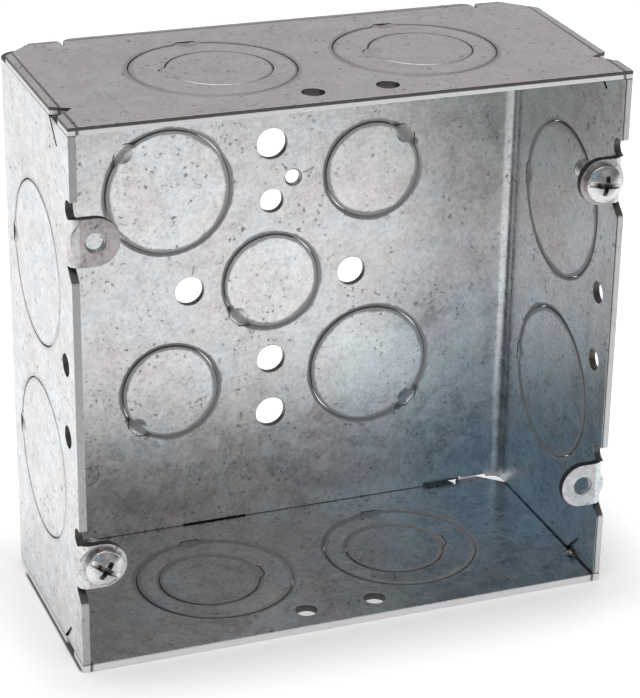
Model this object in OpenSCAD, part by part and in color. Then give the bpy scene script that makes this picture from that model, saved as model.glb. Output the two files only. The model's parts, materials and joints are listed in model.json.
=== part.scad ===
// Square welded steel junction box, 4-11/16 in wide and 2-1/8 in deep.
// X is the width, Y the depth with the open mouth at -Y, and Z the height.
// The origin is the middle of the underside, so the box stands on its bottom plate.
// A knockout is a disc of the wall that is sheared all round except at one tie.
// It is struck from outside, and bends into the box about the root of that tie.

/* [Box] */
// Outside width and height
box_width = 119.06; // [116:0.01:130]
// Outside depth, from the mouth to the back
box_depth = 53.98; // [52:0.01:70]
// Thickness of the galvanised sheet
sheet = 1.6; // [1.4:0.1:1.8]
// Inside radius of the two upright bends at the back
wrap_bend = 2.6; // [1.5:0.1:4]

/* [Cover ears] */
// Distance across between the ear holes
ear_pitch_x = 108.8; // [108:0.1:109.5]
// Distance up between the ear holes
ear_pitch_z = 71; // [60:0.5:76]
// Radius of the round end of an ear, and half its height
ear_radius = 5; // [4.5:0.1:5.2]
// Tapped 8-32 hole, with running clearance on the screw
ear_hole = 4.27; // [4.2:0.01:4.36]
// Depth of the ear face behind the mouth
ear_setback = 0.8; // [0.5:0.1:1.5]
// Outside radius of the bend that carries an ear
ear_bend = 2.4; // [2:0.1:2.8]

/* [Knockouts] */
// Hole of a 1/2 in trade size knockout
half_inch = 22.2; // [21.8:0.1:22.6]
// Hole of a 3/4 in trade size knockout
three_quarter_inch = 28.2; // [27.8:0.1:28.6]
// Hole of a 1 in trade size knockout
one_inch = 34.6; // [34.4:0.1:35.1]
// Width of the shear line
shear_gap = 0.2; // [0.15:0.01:0.3]
// Radius of the round tie
tie_radius = 3.4; // [3:0.1:4]
// How far the root of a tie lies outside its circle
tie_reach = 1.3; // [1:0.1:1.6]
// Depth of the scoop struck in each face of a tie
tie_scoop = 0.35; // [0.2:0.05:0.5]
// Width of the rolled edge round an opening
rolled_edge = 0.7; // [0.3:0.05:0.8]
// Middle of the box to the corner knockouts of the back
back_ko_offset = 23.7; // [22:0.1:26]
// Middle of a wall to each of its two knockouts
wall_ko_offset = 22; // [20:0.5:24]
// Offset of a slug from the middle of its ring
slug_offset = 1.3; // [0:0.1:2]

/* [Holes] */
// Large fixing holes above and below the middle of the back
fixing_hole = 7.1; // [6.5:0.1:8]
// Middle of the back to each large fixing hole
fixing_offset = 32.3; // [31:0.1:34]
// Smaller fixing holes beside and below the middle of the back
ring_hole = 6.7; // [6:0.1:7]
// Hole above the middle of the back
slim_hole = 5.5; // [5:0.1:6]
// Middle of the back to each smaller fixing hole
ring_offset = 19.05; // [18.6:0.05:19.5]
// Tapped 10-32 hole for the ground screw
ground_hole = 4; // [3.8:0.1:4.5]
// Nail holes behind the mouth, two in each wall
nail_hole = 4.8; // [4:0.1:5.5]
// Distance between the two nail holes of a wall
nail_pitch = 15.88; // [14:0.01:18]
// Nail holes behind the edge of the mouth
nail_setback = 6.35; // [5.5:0.01:7]

/* [Cover screws] */
// Outside diameter of the 8-32 thread
screw_d = 4.17; // [4.1:0.01:4.18]
// Length under the head
screw_length = 9.5; // [8:0.5:12]
// Diameter of the pan head
head_d = 8.1; // [7.5:0.1:8.6]
// Height of the pan head
head_h = 2.7; // [2.2:0.1:3]

/* [Hidden] */
$fn = 96;

// Frame: the heads of the screws stand proud of the mouth, and the origin is in
// the middle of the whole depth.
head_proud = head_h - ear_setback;
mouth_y = (head_proud - box_depth) / 2;
back_y = mouth_y + box_depth;
half = box_width / 2;
mid_z = box_width / 2;
inner_x = half - sheet;
wrap_bottom = sheet;
wrap_top = box_width - sheet;
wrap_outer_bend = wrap_bend + sheet;
wall_mid_y = mouth_y + box_depth / 2 - 0.5;
cut = 1;

// Ears and the openings in the wall round them
ear_x = ear_pitch_x / 2;
ear_face_y = mouth_y + ear_setback;
ear_back_y = ear_face_y + ear_bend;
notch_height = 4;
notch_depth = 3.5;
slope_height = 3;

// Back corners of the two plates, and the relief cuts of their corner tabs
corner_cut = 7.6;
tab_start = 46.4;
tab_end = 55.4;
tab_relief = 0.6;
tab_relief_depth = 3.8;
tab_shoulder = 2.6;
tab_roll = 1.2;

// Relief notch at the front of a plate, and the slit next to it in the wall
relief_start = 7;
relief_tip = 11;
relief_end = 13.2;
relief_depth = 4;
slit_width = 0.7;
slit_start = 12.4;
slit_end = 7.9;
slit_drop = 4.6;
slit_web = 0.3;

// Grooves left inside the back where its edge meets a plate, and the gap that
// goes right through at one corner: middle, length, height
seam_grooves = [[-13.5, 15, 0.35], [43.5, 10, 1]];
seam_gap = [51.5, 7, 0.7];
seam_groove_depth = 0.9;

// Shear line, rolled edges and coined middle of a knockout
slug_edge = 0.3;
coin_d = 13;
coin_depth = 0.08;
coin_slope = 0.8;
scoop_sphere = 8;

// Drive of the cover screws: slot angle seen from the mouth
slot_width = 1.15;
slot_depth = 1.1;
cross_length = 4.4;
cross_depth = 1.7;
tip_chamfer = 0.6;
dome_height = 1.4;

// Ground screw hole and coined ring, from the middle of the back
ground_at = [5, 24];
coin_ring_at = [-43.2, -41.5];
coin_ring_d = 5.2;
coin_ring_width = 0.9;
coin_ring_depth = 0.3;

// ---- Frames of the five walls -------------------------------------------
// Each puts its child with +Z into the box and Z = 0 on the inside face.

module on_back(x, z) {
    translate([x, back_y - sheet, mid_z + z]) rotate([90, 0, 0]) children();
}

// side is -1 on the left wall and 1 on the right
module on_side(side, z) {
    translate([side * inner_x, wall_mid_y, mid_z + z]) rotate([0, -side * 90, 0]) children();
}

module on_bottom(x, y) {
    translate([x, y, sheet]) children();
}

// Half a turn about the middle of the box, which takes the bottom to the top
module half_turn() {
    translate([0, 0, mid_z]) rotate([0, 180, 0]) translate([0, 0, -mid_z]) children();
}

// ---- Knockouts -----------------------------------------------------------

// Round tie that lies towards tie_angle, cut straight at its root
module tie(d, tie_angle, radius, low, high) {
    rotate([0, 0, tie_angle])
        intersection() {
            translate([d / 2 + tie_reach - 2 * radius, -radius, low])
                cube([2 * radius, 2 * radius, high - low]);
            translate([d / 2 - (tie_radius - 1.7), 0, low])
                cylinder(r = radius, h = high - low);
        }
}

// Opening for a knockout, with its inside edge rolled over
module knockout_opening(d, tie_angle) {
    translate([0, 0, -sheet - cut]) cylinder(d = d, h = sheet + 2 * cut);
    translate([0, 0, -rolled_edge / 2])
        cylinder(d1 = d, d2 = d + 2 * rolled_edge, h = rolled_edge / 2 + 0.001);
    tie(d, tie_angle, tie_radius, -sheet - cut, cut);
}

// The disc in such an opening, still held by its tie
module knockout_disc(d, tie_angle) {
    disc_d = d - 2 * shear_gap;
    difference() {
        union() {
            translate([0, 0, -sheet]) cylinder(d1 = disc_d - 2 * slug_edge, d2 = disc_d, h = slug_edge);
            translate([0, 0, slug_edge - sheet]) cylinder(d = disc_d, h = sheet - slug_edge);
            tie(d, tie_angle, tie_radius - shear_gap, -sheet, 0);
        }
        rotate([0, 0, tie_angle]) {
            translate([d / 2, 0, scoop_sphere - tie_scoop]) sphere(r = scoop_sphere);
            translate([d / 2, 0, tie_scoop - sheet - scoop_sphere]) sphere(r = scoop_sphere);
        }
    }
}

// Shallow round coin marks in the two faces of a slug
module coin_marks() {
    translate([0, 0, -coin_depth])
        cylinder(d1 = coin_d, d2 = coin_d + 2 * coin_slope, h = coin_depth + 0.001);
    translate([0, 0, -sheet - 0.001])
        cylinder(d1 = coin_d + 2 * coin_slope, d2 = coin_d, h = coin_depth + 0.001);
}

// Outer ring of a double knockout, tied at the back
module knockout_ring() {
    difference() {
        knockout_disc(one_inch, 90);
        translate([-slug_offset, 0, 0]) knockout_opening(half_inch, 0);
    }
}

// Slug in the middle of a double knockout, tied to its ring at one side
module knockout_slug() {
    translate([-slug_offset, 0, 0])
        difference() {
            knockout_disc(half_inch, 0);
            coin_marks();
        }
}

// ---- Body ----------------------------------------------------------------

// Plan of the folded strip's outside or inside, with round back corners
module wrap_plan(half_width, rear, radius, front) {
    translate([-half_width, front]) square([2 * half_width, rear - radius - front]);
    translate([radius - half_width, rear - radius - cut])
        square([2 * (half_width - radius), radius + cut]);
    for (side = [-1, 1])
        translate([side * (half_width - radius), rear - radius]) circle(r = radius);
}

module wrap_shell() {
    translate([0, 0, wrap_bottom])
        linear_extrude(wrap_top - wrap_bottom)
            difference() {
                wrap_plan(half, back_y, wrap_outer_bend, mouth_y);
                wrap_plan(inner_x, back_y - sheet, wrap_bend, mouth_y - cut);
            }
}

// What is cut from the front of a wall to fold out one ear, drawn with
// X along the depth and Y up, and pushed through the wall
module ear_clearance(side) {
    translate([side * (half - sheet / 2), 0, 0])
        rotate([90, 0, 90])
            translate([0, 0, -sheet])
                linear_extrude(2 * sheet) {
                    translate([mouth_y - cut, -ear_radius])
                        square([ear_back_y - mouth_y + cut, 2 * ear_radius]);
                    translate([mouth_y - cut, ear_radius - 0.01])
                        square([notch_depth - notch_height / 2 + cut, notch_height]);
                    translate([mouth_y + notch_depth - notch_height / 2, ear_radius + notch_height / 2])
                        circle(d = notch_height);
                    polygon([
                        [mouth_y - cut, -ear_radius + 0.01],
                        [ear_back_y, -ear_radius + 0.01],
                        [mouth_y, -ear_radius - slope_height],
                        [mouth_y - cut, -ear_radius - slope_height]]);
                }
}

// One ear: the bend at the front of the wall and the flat that points inwards
module ear(side) {
    difference() {
        union() {
            translate([0, 0, -ear_radius])
                linear_extrude(2 * ear_radius)
                    intersection() {
                        translate([side * (half - ear_bend), ear_back_y])
                            difference() {
                                circle(r = ear_bend);
                                circle(r = ear_bend - sheet);
                            }
                        translate([side * (half - ear_bend / 2), ear_back_y - ear_bend / 2])
                            square(ear_bend, center = true);
                    }
            translate([side > 0 ? ear_x : ear_bend - half, ear_face_y, -ear_radius])
                cube([half - ear_bend - ear_x, sheet, 2 * ear_radius]);
            translate([side * ear_x, ear_face_y, 0])
                rotate([-90, 0, 0]) cylinder(r = ear_radius, h = sheet);
        }
        translate([side * ear_x, ear_face_y - cut, 0])
            rotate([-90, 0, 0]) cylinder(d = ear_hole, h = sheet + 2 * cut);
    }
}

module for_each_ear() {
    for (side = [-1, 1], height = [-1, 1])
        translate([0, 0, mid_z + height * ear_pitch_z / 2]) {
            $side = side;
            children();
        }
}

// Two nail holes through a wall, side by side along X
module nail_holes() {
    for (side = [-1, 1])
        translate([side * nail_pitch / 2, 0, -sheet - cut])
            cylinder(d = nail_hole, h = sheet + 2 * cut);
}

// Slit struck into both faces of a side wall, under the relief notch of the
// plate, with a thin web left between the two
module wall_slit() {
    for (side = [-1, 1], start = [-sheet, slit_web / 2])
        translate([side * (half - sheet / 2), 0, 0])
            rotate([90, 0, 90])
                translate([0, 0, start])
                    linear_extrude(sheet - slit_web / 2)
                        polygon([
                            [mouth_y + slit_start + slit_width, wrap_bottom - cut],
                            [mouth_y + slit_start, wrap_bottom],
                            [mouth_y + slit_end, wrap_bottom + slit_drop],
                            [mouth_y + slit_end + slit_width, wrap_bottom + slit_drop + slit_width / 2],
                            [mouth_y + slit_start + 2 * slit_width, wrap_bottom]]);
}

// A slot in the lower edge of the back, cut from the inside face
module seam_slot(at, depth) {
    translate([at[0] - at[1] / 2, back_y - sheet - cut, wrap_bottom - cut])
        cube([at[1], depth + cut, at[2] + cut]);
}

// The grooves and the gap in that edge
module seam_slots() {
    for (groove = seam_grooves)
        seam_slot(groove, seam_groove_depth);
    seam_slot(seam_gap, sheet + cut);
}

// Knockouts of the back: x, z, diameter and the direction of the tie
back_knockouts = [
    [-back_ko_offset, back_ko_offset, three_quarter_inch, 135],
    [back_ko_offset, back_ko_offset, half_inch, 45],
    [0, 0, half_inch, 225],
    [-back_ko_offset, -back_ko_offset, half_inch, 225],
    [back_ko_offset, -back_ko_offset, three_quarter_inch, 315]];

// Round holes of the back: x, z and diameter
back_holes = [
    [0, fixing_offset, fixing_hole],
    [0, -fixing_offset, fixing_hole],
    [-ring_offset, 0, ring_hole],
    [ring_offset, 0, ring_hole],
    [0, -ring_offset, ring_hole],
    [0, ring_offset, slim_hole],
    [ground_at[0], ground_at[1], ground_hole]];

// Ring coined in the inside face of the back
module coin_ring() {
    translate([0, 0, -coin_ring_depth])
        difference() {
            cylinder(d = coin_ring_d, h = coin_ring_depth + cut);
            translate([0, 0, -cut])
                cylinder(d = coin_ring_d - 2 * coin_ring_width, h = coin_ring_depth + 3 * cut);
        }
}

module body_wrap() {
    color("gainsboro")
        difference() {
            union() {
                difference() {
                    wrap_shell();
                    for_each_ear() ear_clearance($side);
                }
                for_each_ear() ear($side);
            }
            for (ko = back_knockouts)
                on_back(ko[0], ko[1]) knockout_opening(ko[2], ko[3]);
            for (hole = back_holes)
                on_back(hole[0], hole[1])
                    translate([0, 0, -sheet - cut]) cylinder(d = hole[2], h = sheet + 2 * cut);
            on_back(coin_ring_at[0], coin_ring_at[1]) coin_ring();
            for (side = [-1, 1], height = [-1, 1])
                on_side(side, height * wall_ko_offset) knockout_opening(one_inch, 90);
            for (side = [-1, 1])
                translate([side * inner_x, mouth_y + nail_setback, mid_z])
                    rotate([0, -side * 90, 0]) nail_holes();
            wall_slit();
            half_turn() wall_slit();
            seam_slots();
            half_turn() seam_slots();
        }
}

// Outline of a plate: full width at the mouth, cut corners at the back, and a
// notch in each side edge near the mouth
module plate_plan() {
    difference() {
        translate([-half, mouth_y]) square([box_width, box_depth]);
        for (side = [-1, 1]) {
            polygon([
                [side * (half - corner_cut), back_y],
                [side * half, back_y - corner_cut],
                [side * (half + cut), back_y - corner_cut],
                [side * (half + cut), back_y + cut],
                [side * (half - corner_cut), back_y + cut]]);
            polygon([
                [side * (half + cut), mouth_y + relief_end],
                [side * half, mouth_y + relief_end],
                [side * (half - relief_depth), mouth_y + relief_tip],
                [side * half, mouth_y + relief_start],
                [side * (half + cut), mouth_y + relief_start]]);
            translate([side * tab_start, back_y]) tab_relief_cut();
        }
    }
}

// Relief cut beside a corner tab: a slot whose mouth is rounded on both sides
module tab_relief_cut() {
    width = tab_relief + 2 * tab_shoulder;
    translate([-tab_relief / 2, -tab_relief_depth]) square([tab_relief, tab_relief_depth]);
    difference() {
        translate([-width / 2, -tab_shoulder]) square([width, tab_shoulder + cut]);
        for (side = [-1, 1])
            translate([side * width / 2, -tab_shoulder]) circle(r = tab_shoulder);
    }
}

// The bottom plate; the top plate is the same part turned half over
module plate() {
    difference() {
        linear_extrude(sheet) plate_plan();
        for (side = [-1, 1])
            on_bottom(side * wall_ko_offset, wall_mid_y) knockout_opening(one_inch, 90);
        on_bottom(0, mouth_y + nail_setback) nail_holes();
        for (side = [-1, 1])
            translate([side * (tab_start + tab_end) / 2, back_y - tab_roll, 0]) tab_rolling();
    }
}

// What is taken off the back edge of a corner tab to round it over
module tab_rolling() {
    length = tab_end - tab_start - tab_relief;
    translate([-length / 2, 0, -cut])
        difference() {
            cube([length, tab_roll + cut, tab_roll + cut]);
            translate([-cut, 0, tab_roll + cut])
                rotate([0, 90, 0]) cylinder(r = tab_roll, h = length + 2 * cut);
        }
}

module bottom_plate() {
    color("lightgray") plate();
}

module top_plate() {
    color("lightgray") half_turn() plate();
}

module back_knockout(index) {
    ko = back_knockouts[index];
    color("silver") on_back(ko[0], ko[1]) knockout_disc(ko[2], ko[3]);
}

module side_knockout(side, height) {
    color("silver") on_side(side, height * wall_ko_offset) knockout_disc(one_inch, 90);
}

module bottom_ring(side) {
    color("silver") on_bottom(side * wall_ko_offset, wall_mid_y) knockout_ring();
}

module bottom_slug(side) {
    color("gray") on_bottom(side * wall_ko_offset, wall_mid_y) knockout_slug();
}

// ---- Cover screws --------------------------------------------------------

// 8-32 pan head screw along +Z, its head above Z = 0 and its slot along X
module screw() {
    dome_radius = (pow(head_d / 2, 2) + pow(dome_height, 2)) / (2 * dome_height);
    translate([0, 0, tip_chamfer - screw_length])
        cylinder(d = screw_d, h = screw_length - tip_chamfer + 0.01);
    translate([0, 0, -screw_length])
        cylinder(d1 = screw_d - 2 * tip_chamfer, d2 = screw_d, h = tip_chamfer);
    difference() {
        intersection() {
            cylinder(d = head_d, h = head_h);
            translate([0, 0, head_h - dome_radius]) sphere(r = dome_radius);
        }
        translate([-head_d, -slot_width / 2, head_h - slot_depth])
            cube([2 * head_d, slot_width, slot_depth + cut]);
        for (turn = [0, 90])
            rotate([0, 0, turn])
                translate([-cross_length / 2, -slot_width / 2, head_h - cross_depth])
                    cube([cross_length, slot_width, cross_depth + cut]);
    }
}

// A screw seated on the ear at side and height, its slot turned by angle
module cover_screw(side, height, angle) {
    color("whitesmoke")
        translate([side * ear_x, ear_face_y, mid_z + height * ear_pitch_z / 2])
            rotate([90, 0, 0]) rotate([0, 0, angle]) screw();
}

body_wrap();
top_plate();
bottom_plate();
back_knockout(0);  // back_knockout_upper_left
back_knockout(1);  // back_knockout_upper_right
back_knockout(2);  // back_knockout_center
back_knockout(3);  // back_knockout_lower_left
back_knockout(4);  // back_knockout_lower_right
side_knockout(-1, 1);  // left_knockout_upper
side_knockout(-1, -1);  // left_knockout_lower
side_knockout(1, 1);  // right_knockout_upper
side_knockout(1, -1);  // right_knockout_lower
half_turn() bottom_ring(1);  // top_ring_left
half_turn() bottom_slug(1);  // top_slug_left
half_turn() bottom_ring(-1);  // top_ring_right
half_turn() bottom_slug(-1);  // top_slug_right
bottom_ring(-1);  // bottom_ring_left
bottom_slug(-1);  // bottom_slug_left
bottom_ring(1);  // bottom_ring_right
bottom_slug(1);  // bottom_slug_right
cover_screw(1, 1, -8);  // cover_screw_upper_right
cover_screw(-1, -1, -35);  // cover_screw_lower_left
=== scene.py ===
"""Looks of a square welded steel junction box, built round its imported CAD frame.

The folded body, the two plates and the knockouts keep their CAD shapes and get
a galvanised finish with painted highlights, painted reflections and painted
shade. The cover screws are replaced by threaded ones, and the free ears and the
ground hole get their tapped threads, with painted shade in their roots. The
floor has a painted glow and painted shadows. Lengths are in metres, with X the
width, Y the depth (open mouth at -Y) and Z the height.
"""

from __future__ import annotations

import json
import logging
import math
from dataclasses import dataclass, field
from enum import Enum
from typing import Any, Mapping, Sequence, Union

import bpy
import numpy as np
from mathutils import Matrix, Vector

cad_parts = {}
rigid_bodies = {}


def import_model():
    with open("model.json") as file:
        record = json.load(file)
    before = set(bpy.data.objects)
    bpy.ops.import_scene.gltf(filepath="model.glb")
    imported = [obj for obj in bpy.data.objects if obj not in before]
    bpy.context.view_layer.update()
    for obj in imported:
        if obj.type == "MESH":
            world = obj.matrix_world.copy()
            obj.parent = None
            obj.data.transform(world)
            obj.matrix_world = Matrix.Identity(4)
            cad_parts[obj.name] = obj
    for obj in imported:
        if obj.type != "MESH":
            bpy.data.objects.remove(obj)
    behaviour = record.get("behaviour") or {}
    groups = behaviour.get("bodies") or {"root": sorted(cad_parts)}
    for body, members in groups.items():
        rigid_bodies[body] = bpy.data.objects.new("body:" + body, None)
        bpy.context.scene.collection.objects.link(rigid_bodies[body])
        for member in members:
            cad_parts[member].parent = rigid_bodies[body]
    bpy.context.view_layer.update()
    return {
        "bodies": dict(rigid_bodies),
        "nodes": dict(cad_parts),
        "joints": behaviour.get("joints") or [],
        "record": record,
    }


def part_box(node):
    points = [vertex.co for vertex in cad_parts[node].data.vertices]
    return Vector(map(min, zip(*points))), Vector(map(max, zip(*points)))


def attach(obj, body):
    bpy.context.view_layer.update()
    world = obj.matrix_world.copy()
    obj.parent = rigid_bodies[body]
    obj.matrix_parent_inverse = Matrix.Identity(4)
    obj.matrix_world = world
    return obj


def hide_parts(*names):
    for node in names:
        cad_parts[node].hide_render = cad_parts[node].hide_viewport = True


LOG = logging.getLogger("junction_box")
MM = 0.001
SCREW_PITCH = 25.4 / 32 * MM
TURNED = (0.6, 0.4)

Colour = tuple[float, float, float]
Operand = Union["Signal", float]
Weights = tuple[float, float, float, float]


# ---- Shader writing --------------------------------------------------------


class Signal:
    """One output socket of a shader tree, with arithmetic that adds Math nodes."""

    def __init__(self, shader: "Shader", socket: bpy.types.NodeSocket) -> None:
        """Wraps a socket.

        Args:
            shader: The shader whose tree the socket is in.
            socket: The output socket.
        """
        self.shader = shader
        self.socket = socket

    def math(self, operation: str, *operands: Operand) -> "Signal":
        """Adds one Math node.

        Args:
            operation: The node's operation.
            operands: Its inputs, in order.

        Returns:
            The node's value.
        """
        return self.shader.node("ShaderNodeMath", {"operation": operation}, dict(enumerate(operands)))

    def __add__(self, other: Operand) -> "Signal":
        """self + other."""
        return self.math("ADD", self, other)

    def __radd__(self, other: Operand) -> "Signal":
        """other + self."""
        return self.math("ADD", other, self)

    def __sub__(self, other: Operand) -> "Signal":
        """self - other."""
        return self.math("SUBTRACT", self, other)

    def __rsub__(self, other: Operand) -> "Signal":
        """other - self."""
        return self.math("SUBTRACT", other, self)

    def __mul__(self, other: Operand) -> "Signal":
        """self * other."""
        return self.math("MULTIPLY", self, other)

    def __rmul__(self, other: Operand) -> "Signal":
        """other * self."""
        return self.math("MULTIPLY", other, self)

    def __truediv__(self, other: Operand) -> "Signal":
        """self / other."""
        return self.math("DIVIDE", self, other)

    def __rtruediv__(self, other: Operand) -> "Signal":
        """other / self."""
        return self.math("DIVIDE", other, self)

    def __pow__(self, other: Operand) -> "Signal":
        """self ** other."""
        return self.math("POWER", self, other)

    def __rpow__(self, other: Operand) -> "Signal":
        """other ** self."""
        return self.math("POWER", other, self)

    def __neg__(self) -> "Signal":
        """-self."""
        return self.math("MULTIPLY", self, -1.0)

    def __abs__(self) -> "Signal":
        """abs(self)."""
        return self.math("ABSOLUTE", self)

    def least(self, other: Operand) -> "Signal":
        """The smaller of self and other."""
        return self.math("MINIMUM", self, other)

    def most(self, other: Operand) -> "Signal":
        """The larger of self and other."""
        return self.math("MAXIMUM", self, other)

    def rise(self, low: float, high: float) -> "Signal":
        """A smooth step.

        Args:
            low: Where it is 0.
            high: Where it is 1, which may be below low for a falling step.

        Returns:
            3t^2 - 2t^3, where t goes from 0 at low to 1 at high.
        """
        if high < low:
            return 1.0 - self.rise(high, low)
        return self.shader.node(
            "ShaderNodeMapRange",
            {"interpolation_type": "SMOOTHSTEP"},
            {"Value": self, "From Min": low, "From Max": high},
        )

    def past(self, edge: float, low: float, high: float) -> "Signal":
        """The same smooth step, placed from an edge.

        Args:
            edge: What it is measured from, in metres.
            low: Where it is 0, in millimetres past the edge.
            high: Where it is 1, in millimetres past the edge.

        Returns:
            The step.
        """
        return self.rise(edge + low * MM, edge + high * MM)


class Shader:
    """A material and the tree of nodes behind its one Principled surface."""

    def __init__(self, name: str) -> None:
        """Starts an empty material.

        Args:
            name: The material's name.
        """
        self.material = bpy.data.materials.new(name)
        self.material.use_nodes = True
        self.tree = self.material.node_tree
        self.tree.nodes.clear()
        self._parts: dict[str, list[Signal]] = {}
        self._point: Signal | None = None
        self._ragged: Signal | None = None
        self._zero: Signal | None = None

    def node(
        self,
        kind: str,
        settings: Mapping[str, Any] | None = None,
        values: Mapping[Union[str, int], Any] | None = None,
        output: Union[str, int] = 0,
    ) -> Signal:
        """Adds any node.

        Args:
            kind: The node's type.
            settings: Its properties, which are set first.
            values: Its inputs by name or number, as links or plain values.
            output: The output to return, by name or number.

        Returns:
            That output.
        """
        made = self.tree.nodes.new(kind)
        for key, value in (settings or {}).items():
            setattr(made, key, value)
        for key, value in (values or {}).items():
            if isinstance(value, Signal):
                self.tree.links.new(value.socket, made.inputs[key])
            else:
                made.inputs[key].default_value = value
        return Signal(self, made.outputs[output])

    @property
    def point(self) -> Signal:
        """The surface point in the row frame, in metres."""
        if self._point is None:
            self._point = self.node("ShaderNodeTexCoord", output="Object")
        return self._point

    def part(self, kind: str, index: int) -> Signal:
        """One part of a texture coordinate, split once for each kind.

        Args:
            kind: The Texture Coordinate node's output.
            index: 0 for X, 1 for Y, 2 for Z.

        Returns:
            The part.
        """
        if kind not in self._parts:
            whole = self.point if kind == "Object" else self.node("ShaderNodeTexCoord", output=kind)
            split = self.node("ShaderNodeSeparateXYZ", values={0: whole})
            self._parts[kind] = [Signal(self, output) for output in split.socket.node.outputs]
        return self._parts[kind][index]

    def axis(self, index: int) -> Signal:
        """One coordinate of the surface point, in metres."""
        return self.part("Object", index)

    def facing(self, index: int) -> Signal:
        """One part of the surface's own direction, which turns with its piece, from -1 to 1."""
        return self.part("Normal", index)

    def noise(self, size: float, detail: float = 2.0, roughness: float = 0.5,
              point: Signal | None = None, seed: float = 0.0) -> Signal:
        """Smooth noise from 0 to 1.

        Args:
            size: The width of its largest blotches, in metres.
            detail: How many finer layers are added.
            roughness: How strong the finer layers are.
            point: Where to read it, or None for the surface point.
            seed: Which noise it is.

        Returns:
            The noise.
        """
        return self.node(
            "ShaderNodeTexNoise",
            {"noise_dimensions": "4D"},
            {"Vector": point or self.point, "W": seed, "Scale": 1.0 / size,
             "Detail": detail, "Roughness": roughness},
            "Fac",
        )

    @property
    def ragged(self) -> Signal:
        """Fine noise that frays the edges of marks, from 0 to 1."""
        if self._ragged is None:
            self._ragged = self.noise(1.4 * MM, 3.0, 0.6, seed=31.0)
        return self._ragged

    @property
    def zero(self) -> Signal:
        """A link that carries 0."""
        if self._zero is None:
            self._zero = self.axis(0) * 0.0
        return self._zero

    def vector(self, operation: str, first: Any, second: Any, output: Union[str, int] = 0) -> Signal:
        """Adds a Vector Math node on two vectors.

        Args:
            operation: The node's operation.
            first: A vector or a link.
            second: A vector or a link.
            output: Its output, by name or number.

        Returns:
            That output.
        """
        a, b = (v if isinstance(v, Signal) else tuple(v) for v in (first, second))
        return self.node("ShaderNodeVectorMath", {"operation": operation}, {0: a, 1: b}, output)

    def distance(self, first: Any, second: Any) -> Signal:
        """The distance between two points, which are vectors or links."""
        return self.vector("DISTANCE", first, second, "Value")

    def blend(self, factor: Operand, first: Any, second: Any, mode: str = "MIX") -> Signal:
        """Mixes two colours.

        Args:
            factor: 0 gives first and 1 gives second, or their product.
            first: A colour or a link.
            second: A colour or a link.
            mode: The Mix node's way of blending, "MIX" or "MULTIPLY".

        Returns:
            The mixed colour.
        """
        a, b = (v if isinstance(v, Signal) else (*v, 1.0) for v in (first, second))
        settings = {"data_type": "RGBA", "blend_type": mode}
        return self.node("ShaderNodeMix", settings, {0: factor, 6: a, 7: b}, 2)

    def tint(self, colour: Signal, factor: Operand) -> Signal:
        """Multiplies a colour by a number.

        Args:
            colour: The colour.
            factor: The number, the same for red, green and blue.

        Returns:
            The scaled colour.
        """
        return self.node("ShaderNodeVectorMath", {"operation": "SCALE"}, {0: colour, "Scale": factor})

    def bump(self, height: Signal, depth: float, edge: float = 0.0) -> Signal:
        """A normal bent by a height map.

        Args:
            height: The height, from 0 to 1.
            depth: How far 1 stands over 0, in metres.
            edge: The radius that softens the piece's sharp edges, in metres.

        Returns:
            The normal.
        """
        values: dict[Union[str, int], Any] = {"Height": height, "Distance": depth, "Strength": 1.0}
        if edge:
            values["Normal"] = self.node("ShaderNodeBevel", {"samples": 6}, {"Radius": edge})
        return self.node("ShaderNodeBump", {}, values)

    def finish(self, values: Mapping[str, Any]) -> bpy.types.Material:
        """Puts the Principled surface on the material.

        Args:
            values: Its inputs by name, as links or plain values.

        Returns:
            The finished material.
        """
        surface = self.node("ShaderNodeBsdfPrincipled", {}, values)
        out = self.tree.nodes.new("ShaderNodeOutputMaterial")
        self.tree.links.new(surface.socket, out.inputs["Surface"])
        return self.material


# ---- Meshes worked out with numpy ------------------------------------------


def grid_mesh(name: str, points: np.ndarray, close_rows: bool = False,
              shade: np.ndarray | None = None) -> bpy.types.Object:
    """Makes a closed piece from a grid of points that goes round in its columns.

    The first and last rows are poles, where every column is the same point, unless
    the rows close on themselves as well, as on a ring.

    Args:
        name: The piece's name.
        points: The grid, rows by columns by 3.
        close_rows: True if the last row joins the first.
        shade: A value for each point of the grid, kept as the attribute "shade".

    Returns:
        The piece, linked to the scene.
    """
    rows, cols = points.shape[:2]
    index = np.arange(rows * cols).reshape(rows, cols)
    if not close_rows:
        index[0], index[-1] = index[0, 0], index[-1, 0]
    below = np.roll(index, -1, axis=0) if close_rows else index[1:]
    above = index if close_rows else index[:-1]
    quads = np.stack([above, below, np.roll(below, -1, axis=1), np.roll(above, -1, axis=1)], axis=-1)
    quads = quads.reshape(-1, 4)
    flat = points.reshape(-1, 3)
    corner = flat[quads]
    volume = np.einsum("ij,ij->i", corner[:, 0], np.cross(corner[:, 1], corner[:, 2])).sum()
    volume += np.einsum("ij,ij->i", corner[:, 0], np.cross(corner[:, 2], corner[:, 3])).sum()
    if volume < 0:
        quads = quads[:, ::-1]
    faces = [tuple(dict.fromkeys(q)) for q in quads.tolist()]
    used, remap = np.unique(np.concatenate([np.array(f) for f in faces]), return_inverse=True)
    ends = np.cumsum([len(f) for f in faces])
    faces = [tuple(part) for part in np.split(remap, ends[:-1])]
    mesh = bpy.data.meshes.new(name)
    mesh.from_pydata(flat[used].tolist(), [], [[int(i) for i in f] for f in faces])
    mesh.polygons.foreach_set("use_smooth", np.ones(len(mesh.polygons), bool))
    if shade is not None:
        layer = mesh.attributes.new("shade", "FLOAT", "POINT")
        layer.data.foreach_set("value", shade.reshape(-1)[used].astype(np.float32))
    mesh.update()
    piece = bpy.data.objects.new(name, mesh)
    bpy.context.scene.collection.objects.link(piece)
    return piece


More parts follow.
